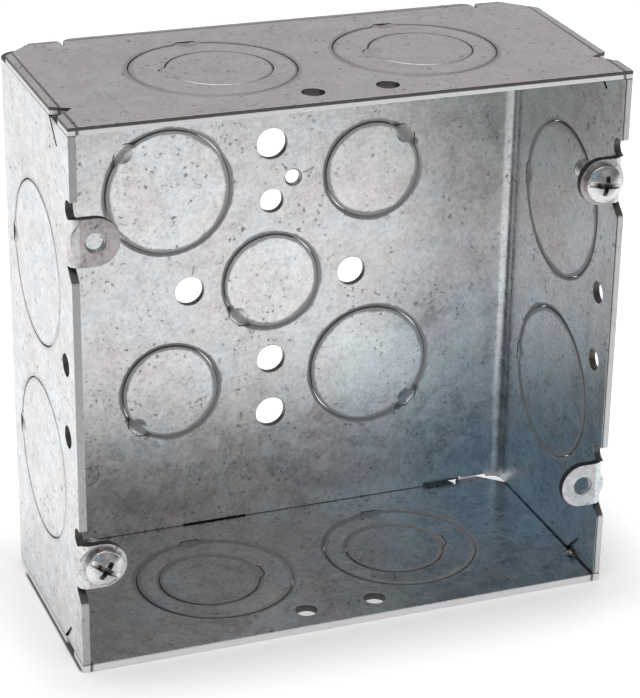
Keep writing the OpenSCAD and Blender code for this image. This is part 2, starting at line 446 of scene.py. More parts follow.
def smooth(value: np.ndarray, low: float, high: float) -> np.ndarray:
    """The smooth step 3t^2 - 2t^3, with t from 0 at low to 1 at high."""
    t = np.clip((value - low) / (high - low), 0.0, 1.0)
    return t * t * (3.0 - 2.0 * t)


def thread_wave(along: np.ndarray, turn: np.ndarray, pitch: float) -> np.ndarray:
    """A 60 degree thread as a wave.

    A triangle wave of (distance along / pitch - turn / 2 pi), clipped at both ends
    for the flats at the crest and the root.

    Args:
        along: Distance along the axis.
        turn: Angle about the axis.
        pitch: Distance from crest to crest.

    Returns:
        0 at the root and 1 at the crest.
    """
    phase = np.mod(along / pitch - turn / (2.0 * math.pi), 1.0)
    return smooth(1.0 - np.abs(2.0 * phase - 1.0), 0.12, 0.88)


# ---- The box as the frame gives it -------------------------------------------


class Wall(Enum):
    """A flat wall of the box, by the direction that points into the box."""

    BACK = (0, -1, 0)
    LEFT = (1, 0, 0)
    RIGHT = (-1, 0, 0)
    TOP = (0, 0, -1)
    BOTTOM = (0, 0, 1)

    @property
    def across(self) -> int:
        """The axis that runs through the sheet."""
        return [i for i in range(3) if self.value[i]][0]

    @property
    def plane(self) -> tuple[int, int]:
        """The two axes that run along the sheet."""
        a, b = [i for i in range(3) if i != self.across]
        return a, b


@dataclass(frozen=True)
class Shell:
    """The outside of the box and its sheet."""

    half: float
    mouth: float
    back: float
    height: float
    ear_face: float
    ear_pitch: tuple[float, float]
    sheet: float = 1.6 * MM

    @classmethod
    def from_frame(cls, screw_length: float) -> "Shell":
        """Reads the shell from the frame.

        Args:
            screw_length: Length of a cover screw under its head, which seats on an ear.

        Returns:
            The shell.
        """
        low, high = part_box("body_wrap")
        upper, lower = (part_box(n) for n in ("cover_screw_upper_right", "cover_screw_lower_left"))
        middles = [(box[0] + box[1]) / 2 for box in (upper, lower)]
        pitch = (middles[0].x - middles[1].x, middles[0].z - middles[1].z)
        return cls(high.x, low.y, high.y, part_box("top_plate")[1].z, upper[1].y - screw_length, pitch)

    @property
    def inner(self) -> float:
        """Half of the width inside."""
        return self.half - self.sheet

    @property
    def back_face(self) -> float:
        """The Y of the inside face of the back."""
        return self.back - self.sheet

    @property
    def middle(self) -> float:
        """Half of the height."""
        return self.height / 2


@dataclass(frozen=True)
class Knockout:
    """One disc or ring of a wall, as the frame's joint and node place it."""

    name: str
    wall: Wall
    centre: Vector
    radius: float
    towards: Vector

    @classmethod
    def from_joint(cls, joint: Mapping[str, Any], middle: Vector) -> "Knockout":
        """Reads a knockout from its hinge.

        The disc bends inwards about the root of its tie, so the hinge's axis, the
        inward direction and the direction from the disc to the root are at right
        angles, in that order.

        Args:
            joint: The hinge that bends it.
            middle: The middle of the box.

        Returns:
            The knockout.
        """
        name = joint["child"]
        low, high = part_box(name)
        span = high - low
        thin = min(range(3), key=lambda i: span[i])
        inward = Vector([0.0, 0.0, 0.0])
        inward[thin] = 1.0 if (middle - (low + high) / 2)[thin] > 0 else -1.0
        radius = sorted(span)[1] / 2
        towards = Vector(joint["axis"]).cross(inward).normalized()
        centre = (low + high) / 2
        centre[thin] = joint["pos_m"][thin]
        for i in range(3):
            if abs(towards[i]) > 0.9:
                centre[i] = (low[i] + radius) if towards[i] > 0 else (high[i] - radius)
        return cls(name, Wall(tuple(int(v) for v in inward)), centre, radius, towards)

    def tie_ends(self, half_width: float) -> tuple[Vector, Vector]:
        """The two points where the tie leaves the circle.

        Args:
            half_width: Half of the tie's width.

        Returns:
            The points, on the wall's inside face.
        """
        across = self.towards.cross(Vector(self.wall.value))
        neck = self.centre + self.towards * self.radius
        return neck + across * half_width, neck - across * half_width

    def rim(self, s: Shader) -> Signal:
        """Distance from the knockout's circle.

        Args:
            s: The shader that asks.

        Returns:
            The distance along the wall, negative inside the circle, in metres.
        """
        du, dv = (s.axis(i) - self.centre[i] for i in self.wall.plane)
        return (du * du + dv * dv) ** 0.5 - self.radius

    def inwards(self, s: Shader) -> Signal:
        """Distance into the box from the wall's inside face.

        Args:
            s: The shader that asks.

        Returns:
            The distance, in metres.
        """
        i = self.wall.across
        return (s.axis(i) - self.centre[i]) * float(self.wall.value[i])

    def within_wall(self, s: Shader) -> Signal:
        """1 in the wall's own sheet, and 0 further into the box.

        Args:
            s: The shader that asks.

        Returns:
            The mask.
        """
        return self.inwards(s).past(0.0, 0.6, 0.3)

    def outside(self, s: Shader, sheet: float) -> Signal:
        """1 on the wall's outside face and 0 on its inside face.

        Args:
            s: The shader that asks.
            sheet: The thickness of the sheet.

        Returns:
            The mask.
        """
        return self.inwards(s).rise(-0.7 * sheet, -0.9 * sheet)


@dataclass(frozen=True)
class Smudge:
    """A dark ragged spot round one point."""

    centre: Vector
    radius: float
    strength: float = 0.8

    def mask(self, s: Shader) -> Signal:
        """How dark the spot makes the surface.

        Args:
            s: The shader that asks.

        Returns:
            strength in the middle and 0 outside, with a ragged edge.
        """
        away = s.distance(s.point, self.centre) / self.radius + 1.1 * (s.ragged - 0.5)
        return away.rise(1.0, 0.35) * self.strength


@dataclass(frozen=True)
class Stroke:
    """A short straight mark, such as a scratch or the tick of a tool."""

    start: Vector
    end: Vector
    width: float
    strength: float

    def mask(self, s: Shader) -> Signal:
        """How dark the stroke makes the surface.

        The distance is from the nearest point of the segment, which is the start
        plus the projection on the segment, clamped to its length.

        Args:
            s: The shader that asks.

        Returns:
            strength on the stroke and 0 away from it.
        """
        run = self.end - self.start
        unit = run.normalized()
        rel = s.vector("SUBTRACT", s.point, self.start)
        along = s.vector("DOT_PRODUCT", rel, unit, output="Value").most(0.0).least(run.length)
        foot = s.node("ShaderNodeVectorMath", {"operation": "SCALE"}, {0: tuple(unit), "Scale": along})
        return s.distance(rel, foot).rise(self.width, self.width * 0.4) * self.strength


@dataclass(frozen=True)
class Marks:
    """What the press has left on one piece of sheet, and where it gets painted highlights and painted shade.

    wall is None for the folded body, which has faces in three directions.
    """

    shell: Shell
    wall: Wall | None
    knockouts: tuple[Knockout, ...] = ()
    spots: tuple[Union[Smudge, Stroke], ...] = ()
    band: float = 0.75 * MM
    # Width of the band along the top slugs' edge: painted shade with wear.
    worn_and_shaded: float = 2.0 * MM
    coin_radius: float = 6.5 * MM
    ear_half: float = 5.1 * MM
    thin_seam: float = 0.22 * MM
    wide_seam: float = 0.75 * MM

    def outlines(self, s: Shader) -> Signal:
        """The bands round the knockouts: a painted shade of the shear step with some
        rubbing, and on the top slugs a painted shade with wear along the edge and
        round the coined ring.

        Args:
            s: The shader that asks.

        Returns:
            1 in the bands, less on an outside face, and 0 elsewhere.
        """
        width = self.band * (0.35 + 1.9 * s.noise(7 * MM, 1.0, seed=2.0))
        total = s.zero
        for ko in self.knockouts:
            away = abs(ko.rim(s) - 0.1 * MM) / width + 0.8 * (s.ragged - 0.5)
            band = away.rise(1.2, 0.6) * ko.within_wall(s)
            if ko.wall is Wall.TOP and "slug" in ko.name:
                # Top slugs: painted shade with wear along the edge, and painted shade round the coined ring.
                worn_and_shaded = abs(ko.rim(s)).rise(self.worn_and_shaded, 0.0)
                coin_shade = abs(ko.rim(s) + ko.radius - self.coin_radius).past(0.0, 0.7, 0.1)
                band = (0.4 * worn_and_shaded).most(0.22 * coin_shade) * ko.within_wall(s)
            if ko.wall is not Wall.TOP:
                band = band * (1.0 - 0.7 * ko.outside(s, self.shell.sheet))
            total = total.most(band)
        return total

    def dirt_and_shade(self, s: Shader) -> Signal:
        """The dark spots and strokes.

        Args:
            s: The shader that asks.

        Returns:
            Their darkness.
        """
        total = s.zero
        for spot in self.spots:
            total = total.most(spot.mask(s))
        return total

    def ears(self, s: Shader) -> Signal:
        """The cover ears, which get a painted shade.

        Args:
            s: The shader that asks.

        Returns:
            1 on the ears, inside the walls, and 0 elsewhere.
        """
        shell = self.shell
        ahead = s.axis(1).past(shell.ear_face, 2.3, 1.9)
        return ahead * abs(s.axis(0)).past(shell.inner, -0.2, -0.6)

    def cut(self, s: Shader) -> Signal:
        """Where the sheet was cut through.

        On a flat piece a cut face is one that faces along the sheet. On the body
        the back, the sides and the ears each have their own such directions, and
        the bends, which also turn that way, are left out by their place.

        Args:
            s: The shader that asks.

        Returns:
            1 on the cut edges and the walls of holes, and 0 elsewhere.
        """
        if self.wall is not None:
            return abs(s.facing(self.wall.across)).rise(*TURNED)
        shell = self.shell
        across, depth = abs(s.axis(0)), s.axis(1)
        along_x, along_y, along_z = (abs(s.facing(i)) for i in range(3))
        ear_row = abs(abs(s.axis(2) - shell.middle) - shell.ear_pitch[1] / 2)
        ear_bend = ear_row.past(self.ear_half, 0, -0.05) * depth.past(shell.ear_face, 2.5, 2.4)
        faces_x, faces_y = (along.rise(*TURNED) for along in (along_x, along_y))
        back = faces_y * depth.past(shell.back_face, 0.03, 0.08)
        side = faces_x * across.past(shell.inner, 0.03, 0.08)
        side = side * depth.past(shell.back, -4.6, -4.8) * (1.0 - ear_bend)
        ear = faces_y * across.past(shell.half, -2.4, -2.5) * depth.past(0.0, 0, -1)
        return back.most(side).most(ear).most(along_z.rise(0.6, 0.8))

    def cut_highlight(self, s: Shader) -> Signal:
        """Which part of a cut edge gets a painted highlight.

        A sheared edge gets painted shade where its corner rolled over and a painted
        highlight below, where the sheet broke, brighter on the right wall's front edge
        than on the left. The walls of holes stay in painted shade.

        Args:
            s: The shader that asks.

        Returns:
            1 on the painted highlight, and 0 on the painted shade.
        """
        shell = self.shell
        across, depth, up = abs(s.axis(0)), s.axis(1), s.axis(2)
        rim = depth.past(shell.mouth, 0.3, 0.1)
        outer = rim.most(depth.past(shell.back, -0.3, -0.1))
        outer = outer.most(across.past(shell.half, -8.2, -8.0))
        if self.wall is Wall.TOP:
            return outer * up.past(shell.height, -0.62, -0.82)
        if self.wall is Wall.BOTTOM:
            return outer * (0.75 + 0.25 * up.past(shell.sheet, -0.1, -0.3))
        if self.wall is not None:
            return s.zero
        right = s.axis(0).past(shell.inner, 0.3, 0.5)
        left = s.axis(0).past(-shell.inner, 0.1, -0.1)
        return rim * (right * 0.75).most(left * 0.5)

    def cut_shade(self, s: Shader) -> Signal:
        """How dark the painted shade on a cut face is: the walls of holes more so than a shear line.

        Args:
            s: The shader that asks.

        Returns:
            The darkness.
        """
        near = s.zero
        for ko in self.knockouts:
            near = near.most(abs(ko.rim(s)).rise(1.2 * MM, 0.9 * MM) * ko.within_wall(s))
        return 0.9 - 0.65 * near

    def seams(self, s: Shader) -> Signal:
        """The dark lines where a plate meets the folded body.

        Args:
            s: The shader that asks.

        Returns:
            1 in the lines and 0 elsewhere.
        """
        shell = self.shell
        across, depth, up = abs(s.axis(0)), s.axis(1), s.axis(2)
        front = depth.rise(shell.back_face - 8 * MM, shell.mouth + 4 * MM)
        wide = self.thin_seam + (self.wide_seam - self.thin_seam) * (0.35 + 0.65 * front)
        ragged = 0.7 + 0.6 * s.ragged
        if self.wall in (Wall.TOP, Wall.BOTTOM):
            side = ((shell.inner - across) / (wide * ragged)).rise(1.0, 0.4)
            back = ((shell.back_face - depth) / (self.thin_seam * ragged)).rise(1.0, 0.2)
            inside = across.past(shell.inner, 0.2, 0) * depth.rise(shell.back, shell.back_face)
            return side.most(0.7 * back) * inside
        if self.wall is not None:
            return s.zero
        edge = (up - shell.sheet).least(shell.height - shell.sheet - up)
        on_side = across.past(shell.inner, -0.3, -0.1)
        width = (self.thin_seam + (wide * 0.6 - self.thin_seam) * on_side) * ragged
        return (edge / width).rise(1.0, 0.3)


# ---- Finishes --------------------------------------------------------------


@dataclass(frozen=True)
class Galvanised:
    """Hot-dip zinc on sheet steel: spangle, specks, patches and press marks.

    The zinc is tinted by shade round one corner of the box, a painted reflection
    that is bluish and darker on the body and a brighter painted sheen on the bottom
    plate, and by a painted shade round another corner, the upper right. The cover
    ears get a painted shade, the cut edges painted highlights and painted shade,
    and the bands round the knockouts a painted shade of their shear step with some
    rubbing. A level above 1 is a painted brightening. mottle and uneven weigh the
    grain, the flakes, the clouds and the patches in the brightness and in the
    roughness.
    """

    tone: Colour = (0.655, 0.652, 0.655)
    warm: Colour = (0.64, 0.585, 0.595)
    cool: Colour = (0.585, 0.64, 0.655)
    # Colour of the spots and dark seams, and of the painted shade on cut faces.
    soil_and_shade: Colour = (0.075, 0.062, 0.06)
    # Painted shade of the knockouts' shear step, with some rubbing.
    rubbed_and_shaded: Colour = (0.40, 0.395, 0.40)
    # Painted highlight on the bright part of cut edges.
    shear_highlight: Colour = (0.90, 0.88, 0.885)
    # shade is a painted reflection round shade_corner: bluish and darker on the body, a brighter painted
    # sheen on the bottom plate.
    shade: Colour = (0.89, 0.99, 1.04)
    shade_corner: tuple[float, float, float] = (56 * MM, 20 * MM, 2 * MM)
    shade_reach: float = 66 * MM
    # A painted shade round the upper right corner of the body.
    upper_shade: Colour = (0.79, 0.79, 0.78)
    upper_shade_corner: tuple[float, float, float] = (52 * MM, 24 * MM, 116 * MM)
    upper_shade_reach: float = 58 * MM
    # Painted shade on the cover ears.
    ear_shade: Colour = (0.71, 0.675, 0.685)
    contrast: float = 1.9
    grain: float = 1.0 * MM
    spangle: float = 2.8 * MM
    speck: float = 1.05 * MM
    patch: float = 15 * MM
    roughness: float = 0.30
    mottle: Weights = (0.55, 0.10, 0.34, 0.12)
    uneven: Weights = (0.16, 0.10, 0.12, 0.0)
    relief: float = 0.045 * MM
    edge: float = 0.25 * MM
    # Above 1, a painted brightening of the whole piece.
    level: float = 1.0

    def material(self, name: str, marks: Marks, seed: float) -> bpy.types.Material:
        """Builds the finish for one piece.

        Args:
            name: The material's name.
            marks: What the press has left on the piece, and where it gets painted highlights and painted
                shade.
            seed: Which stretch of the sheet the piece was cut from.

        Returns:
            The material.
        """
        s = Shader(name)
        grain = s.noise(self.grain, 5.0, 0.62, seed=seed)
        patch = s.noise(self.patch, 3.0, 0.5, seed=seed + 3.0)
        cloud = s.noise(self.patch * 0.3, 3.0, 0.55, seed=seed + 5.0)
        cells = s.node("ShaderNodeTexVoronoi", {"feature": "F1"},
                       {"Vector": s.point, "Scale": 1.0 / self.spangle, "Randomness": 1.0}, "Color")
        flake = s.node("ShaderNodeSeparateColor", {}, {0: cells}, 0)
        specks = s.noise(self.speck, 2.0, 0.5, seed=seed + 9.0).rise(0.60, 0.70)
        specks = specks * s.noise(self.patch * 0.5, 1.0, seed=seed + 11.0).rise(0.36, 0.60)
        drawn = s.node("ShaderNodeMapping", {}, {"Vector": s.point, "Scale": (1.0, 1.0, 0.08)})
        drag = s.noise(0.5 * MM, 3.0, 0.6, point=drawn, seed=seed + 13.0)

        swings = [layer - 0.5 for layer in (grain, flake, cloud, patch)]
        mottle, uneven = (sum(weight * swing for weight, swing in zip(weights, swings))
                          for weights in (self.mottle, self.uneven))
        level = self.level * (1.0 + self.contrast * mottle - 0.5 * specks)
        colour = s.blend(patch.rise(0.38, 0.62), self.warm, self.cool)
        colour = s.tint(s.blend(0.55, colour, self.tone), level)
        # Painted reflection round shade_corner: a bluish darkening on the body, a brighter painted sheen on
        # the bottom plate.
        corners = ((self.shade_corner, self.shade_reach), (self.upper_shade_corner, self.upper_shade_reach))
        shaded, upper_shaded = (s.distance(s.point, corner).rise(reach, reach * 0.35) for corner, reach in corners)
        colour = s.blend(shaded, colour, self.shade, "MULTIPLY")
        # Painted shade round the upper right corner, left off the top plate.
        if marks.wall is not Wall.TOP:
            colour = s.blend(upper_shaded, colour, self.upper_shade, "MULTIPLY")
        # Painted shade on the cover ears of the body.
        if marks.wall is None:
            colour = s.blend(marks.ears(s), colour, self.ear_shade, "MULTIPLY")

        cut, highlight = marks.cut(s), marks.cut_highlight(s)
        outlines = marks.outlines(s)
        # Spots, dark seams and the painted shade on the dark part of cut faces.
        dark = marks.dirt_and_shade(s).most(0.85 * marks.seams(s)).most(marks.cut_shade(s) * cut * (1.0 - highlight))
        # Painted shade, with some rubbing, in the knockout bands, which are also less metallic.
        colour = s.blend(0.85 * outlines, colour, self.rubbed_and_shaded)
        # Painted highlight on cut edges, which are also less metallic there.
        colour = s.blend(cut * highlight, colour, self.shear_highlight)
        colour = s.blend(dark.least(1.0), colour, self.soil_and_shade)
        rough = self.roughness + uneven + 0.12 * specks
        height = 0.55 * grain + 0.30 * cloud + 0.10 * drag - 0.25 * specks + 0.10 * flake
        return s.finish({
            "Base Color": colour,
            "Metallic": 1.0 - (0.6 * cut * highlight).most(0.7 * outlines),
            "Roughness": rough + 0.15 * outlines + 0.2 * cut,
            "Normal": s.bump(height, self.relief, self.edge),
        })


@dataclass(frozen=True)
class ZincPlate:
    """Bright zinc plate on a turned screw, darker in its recess and its thread roots: painted shade with
    some dirty zinc.
    """

    tone: Colour = (0.70, 0.69, 0.68)
    # Colour of the recesses: painted shade with some dirty zinc.
    dirt_and_shade: Colour = (0.10, 0.09, 0.085)
    grain: float = 0.6 * MM
    roughness: float = 0.20

    def material(self, name: str, seed: float) -> bpy.types.Material:
        """Builds the finish; the piece's attribute "shade" is 1 in its recesses.

        Args:
            name: The material's name.
            seed: Which patch of plating it is.

        Returns:
            The material.
        """
        s = Shader(name)
        shade = s.node("ShaderNodeAttribute", {"attribute_name": "shade"}, output="Fac")
        grain = s.noise(self.grain, 4.0, 0.6, seed=seed)
        cloud = s.noise(self.grain * 5.0, 2.0, 0.5, seed=seed + 2.0)
        # Painted shade, with some dirty zinc, where the shade attribute is high.
        soil_and_shade = (shade * (0.55 + 0.6 * grain)).least(1.0)
        colour = s.tint(s.blend(soil_and_shade, self.tone, self.dirt_and_shade), 0.60 + 0.75 * grain + 0.5 * (cloud - 0.5))
        rough = self.roughness + 0.22 * soil_and_shade + 0.14 * (grain - 0.5)
        return s.finish({
            "Base Color": colour,
            "Metallic": 1.0,
            "Roughness": rough,
            "Normal": s.bump(0.5 * grain + 0.5 * cloud, 0.16 * MM),
        })


@dataclass(frozen=True)
class PaleFloor:
    """Pale studio floor with a painted glow, a painted pool of light that is dimmer in front of the box, and
    painted shadows round and under the box.

    It dims sooner on the left than on the right: each of left and right holds the
    Y where it starts to dim and the Y where it is dim. It is pale again beyond far.
    """

    shell: Shell
    tone: float = 0.85
    glow: float = 0.58
    dim: float = 0.40
    far: tuple[float, float] = (-0.6, -1.0)
    left: tuple[float, float] = (-0.175, -0.235)
    right: tuple[float, float] = (-0.22, -0.34)
    side: tuple[float, float] = (-0.045, 0.015)
    open_half: float = 24 * MM
    # Painted shadow round the box's footprint.
    shadow: float = 0.45
    shadow_reach: float = 26 * MM

    def material(self, name: str) -> bpy.types.Material:
        """Builds the floor's material.

        Args:
            name: The material's name.

        Returns:
            The material.
        """
        s = Shader(name)
        across, depth = abs(s.axis(0)), s.axis(1)
        # Painted pool of light, dimmer in front of the box and sooner on the left.
        left, right = (depth.rise(dim_to, dim_from) for dim_from, dim_to in (self.left, self.right))
        pale = (left + s.axis(0).rise(*self.side) * (right - left)).most(depth.rise(*self.far))
        light = self.dim + (1.0 - self.dim) * pale
        # Painted shadow under the box, apart from a strip along the middle.
        under = across.past(self.shell.half, 0.8, 0.1)
        under = under * across.rise(self.open_half, self.open_half * 1.5)
        under = under * depth.past(self.shell.mouth, 0, 2)
        under = under * depth.past(self.shell.back, -7, -10)
        beside = (across - self.shell.half).most(0.0)
        before = (self.shell.mouth - depth).most(depth - self.shell.back).most(0.0)
        near = ((beside * beside + before * before) ** 0.5).rise(self.shadow_reach, 0.0)
        grey = s.node("ShaderNodeCombineColor", {}, {0: light, 1: light, 2: light})
        # The painted light and shadows go into the base colour and the painted glow.
        return s.finish({
            "Base Color": s.tint(grey, self.tone * (1.0 - 0.9 * under)),
            "Roughness": 0.9,
            "Specular IOR Level": 0.1,
            "Emission Color": s.tint(grey, (1.0 - 0.9 * under) * (1.0 - self.shadow * near)),
            "Emission Strength": self.glow,
        })


# ---- Threaded pieces -------------------------------------------------------


@dataclass
class CoverScrew:
    """An 8-32 pan head screw with a slot and a short cross, and a rolled thread.

    It is one surface of (row, turn): the rows go from the crown over the head and
    down the shank to the tip. The recess is a height map on the crown, and the
    thread a wave on the shank's radius.
    """

    node: str
    slot_turn: float
    name: str
    pitch: float = SCREW_PITCH
    shank_radius: float = 2.08 * MM
    root_radius: float = 1.62 * MM
    dome: float = 1.4 * MM
    shoulder: float = 0.3 * MM
    fillet: float = 0.25 * MM
    slot_half: float = 0.55 * MM
    slot_depth: float = 1.05 * MM
    cross_half: float = 0.52 * MM
    cross_reach: float = 2.15 * MM
    cross_depth: float = 1.75 * MM
    length: float = 9.5 * MM
    turns: int = 192
    crown_rows: int = 90
    thread_rows: int = 190
    low: Vector = field(init=False)
    high: Vector = field(init=False)

    def __post_init__(self) -> None:
        """Reads the screw's place from the frame."""
        self.low, self.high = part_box(self.node)

    def recess(self, x: np.ndarray, y: np.ndarray) -> np.ndarray:
        """Depth of the drive under the crown.

        The slot is a flat-bottomed trough. Each arm of the cross is a trough whose
        floor rises in a straight line from the middle to its end.

        Args:
            x: Distance along the slot.
            y: Distance across it.

        Returns:
            The depth.
        """
        wall = 0.09 * MM
        depth = self.slot_depth * smooth(np.abs(y), self.slot_half + wall, self.slot_half - wall)
        for along, across in ((x, y), (y, x)):
            floor = self.cross_depth * np.clip(1.25 - 0.8 * np.abs(along) / self.cross_reach, 0.0, 1.0)
            arm = smooth(np.abs(across), self.cross_half + wall, self.cross_half - wall)
            arm = arm * smooth(np.abs(along), self.cross_reach + 1.5 * wall, self.cross_reach - 1.5 * wall)
            depth = np.maximum(depth, floor * arm)
        return depth

    def profile(self, head_r: float, head_h: float) -> tuple[np.ndarray, np.ndarray]:
        """The screw's outline, before its recess and thread.

        The crown is an arc of a ball. A quarter turn rounds its shoulder and
        another the head's lower corner; the shank is straight, with a short cone
        at its tip.

        Args:
            head_r: The head's radius.
            head_h: The head's height over its seat.

        Returns:
            The radius and the height of each row, from the crown to the tip.
        """
        ball = (head_r**2 + self.dome**2) / (2 * self.dome)
        crown = np.linspace(0.0, 1.0, self.crown_rows) * (head_r - self.shoulder)
        bend = np.linspace(0.0, math.pi / 2, 10)[1:]
        crown_z = head_h - (ball - np.sqrt(ball**2 - crown**2))
        edge_z, rim = crown_z[-1], head_h - self.dome
        radius = [
            crown, head_r - self.shoulder + self.shoulder * np.sin(bend), np.full(4, head_r),
            head_r - self.fillet * (1 - np.cos(bend)),
            np.linspace(head_r - 2 * self.fillet, self.shank_radius, 6),
            np.full(self.thread_rows, self.shank_radius), np.linspace(self.shank_radius, 1.3 * MM, 5), [0.0],
        ]
        height = [
            crown_z, edge_z - (edge_z - rim + self.shoulder) * (1 - np.cos(bend)) / 2,
            np.linspace(edge_z * 0.5, self.shoulder, 6)[1:-1],
            self.fillet * (1 - np.sin(bend)), np.zeros(6),
            -np.linspace(0.0, self.length - 0.5 * MM, self.thread_rows),
            np.linspace(-self.length + 0.45 * MM, -self.length, 5), [-self.length],
        ]
        return np.concatenate(radius), np.concatenate(height)

    def build(self) -> bpy.types.Object:
        """Builds the screw.

        Returns:
            The screw, in its place.
        """
        head_r = (self.high.x - self.low.x) / 2
        seat = self.high.y - self.length
        head_h = seat - self.low.y
        radius, height = self.profile(head_r, head_h)
        turn = np.linspace(0.0, 2 * math.pi, self.turns, endpoint=False)
        r = np.repeat(radius[:, None], self.turns, axis=1)
        z = np.repeat(height[:, None], self.turns, axis=1)
        t = np.repeat(turn[None, :], len(radius), axis=0)

        tip_rows = 6
        shank = slice(len(radius) - tip_rows - self.thread_rows, len(radius) - tip_rows)
        fade = smooth(-z[shank], 0.2 * MM, 0.9 * MM)
        crest = thread_wave(-z[shank], t[shank], self.pitch)
        r[shank] = self.shank_radius - (self.shank_radius - self.root_radius) * (1 - crest) * fade
        x, y = r * np.cos(t), r * np.sin(t)
        top = slice(0, self.crown_rows)
        floor = head_h - self.recess(x[top], y[top])
        # Painted shade, with some dirty zinc, in the drive, round it on the crown and in the thread roots.
        shade = np.zeros_like(r)
        grime_and_shade = 0.55 * smooth(r[top], 0.8 * head_r, 0.3 * head_r)
        shade[top] = np.maximum(smooth(z[top] - floor, 0.15 * MM, 0.9 * MM), grime_and_shade)
        z[top] = np.minimum(z[top], floor)
        shade[shank] = (1 - crest) * fade
        cos, sin = math.cos(self.slot_turn), math.sin(self.slot_turn)
        x, y = x * cos - y * sin, x * sin + y * cos
        middle = (self.low + self.high) / 2
        points = np.stack([middle.x + x, seat - z, middle.z + y], axis=-1)
        piece = grid_mesh(self.name, points, shade=shade)
        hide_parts(self.node)
        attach(piece, self.node)
        return piece


@dataclass
class TappedThread:
    """The thread of a tapped hole, as a closed ring that lines the hole.

    The ring is a surface of (row, turn): its rows go up the bore, where the radius
    is a thread wave, and back down inside the metal round it.
    """

    name: str
    centre: Vector
    hole_radius: float
    depth: float = 1.6 * MM
    pitch: float = SCREW_PITCH
    thread_depth: float = 0.36 * MM
    turns: int = 96
    rows: int = 48

    def build(self) -> bpy.types.Object:
        """Builds the ring.

        Returns:
            The ring, in its place. Its axis is Y and centre is on the front face.
        """
        turn = np.linspace(0.0, 2 * math.pi, self.turns, endpoint=False)
        inset = 0.02 * MM
        along = np.linspace(inset, self.depth - inset, self.rows)
        t = np.repeat(turn[None, :], self.rows, axis=0)
        a = np.repeat(along[:, None], self.turns, axis=1)
        chamfer = np.minimum(smooth(a, 0.0, 0.35 * MM), smooth(self.depth - a, 0.0, 0.35 * MM))
        crest = thread_wave(a, t, self.pitch) * chamfer
        bore = self.hole_radius - 0.01 * MM - self.thread_depth * crest
        outer = np.full((2, self.turns), self.hole_radius + 0.15 * MM)
        back = np.repeat(np.array([[self.depth - inset], [inset]]), self.turns, axis=1)
        r = np.concatenate([bore, outer])
        y = np.concatenate([a, back])
        t = np.concatenate([t, t[:2]])
        x, z = self.centre.x + r * np.cos(t), self.centre.z + r * np.sin(t)
        points = np.stack([x, self.centre.y + y, z], axis=-1)
        # Painted shade in the thread roots.
        shade = np.concatenate([0.6 * (1 - crest), np.zeros((2, self.turns))])
        piece = grid_mesh(self.name, points, close_rows=True, shade=shade)
        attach(piece, "box")
        return piece


# ---- The box ---------------------------------------------------------------


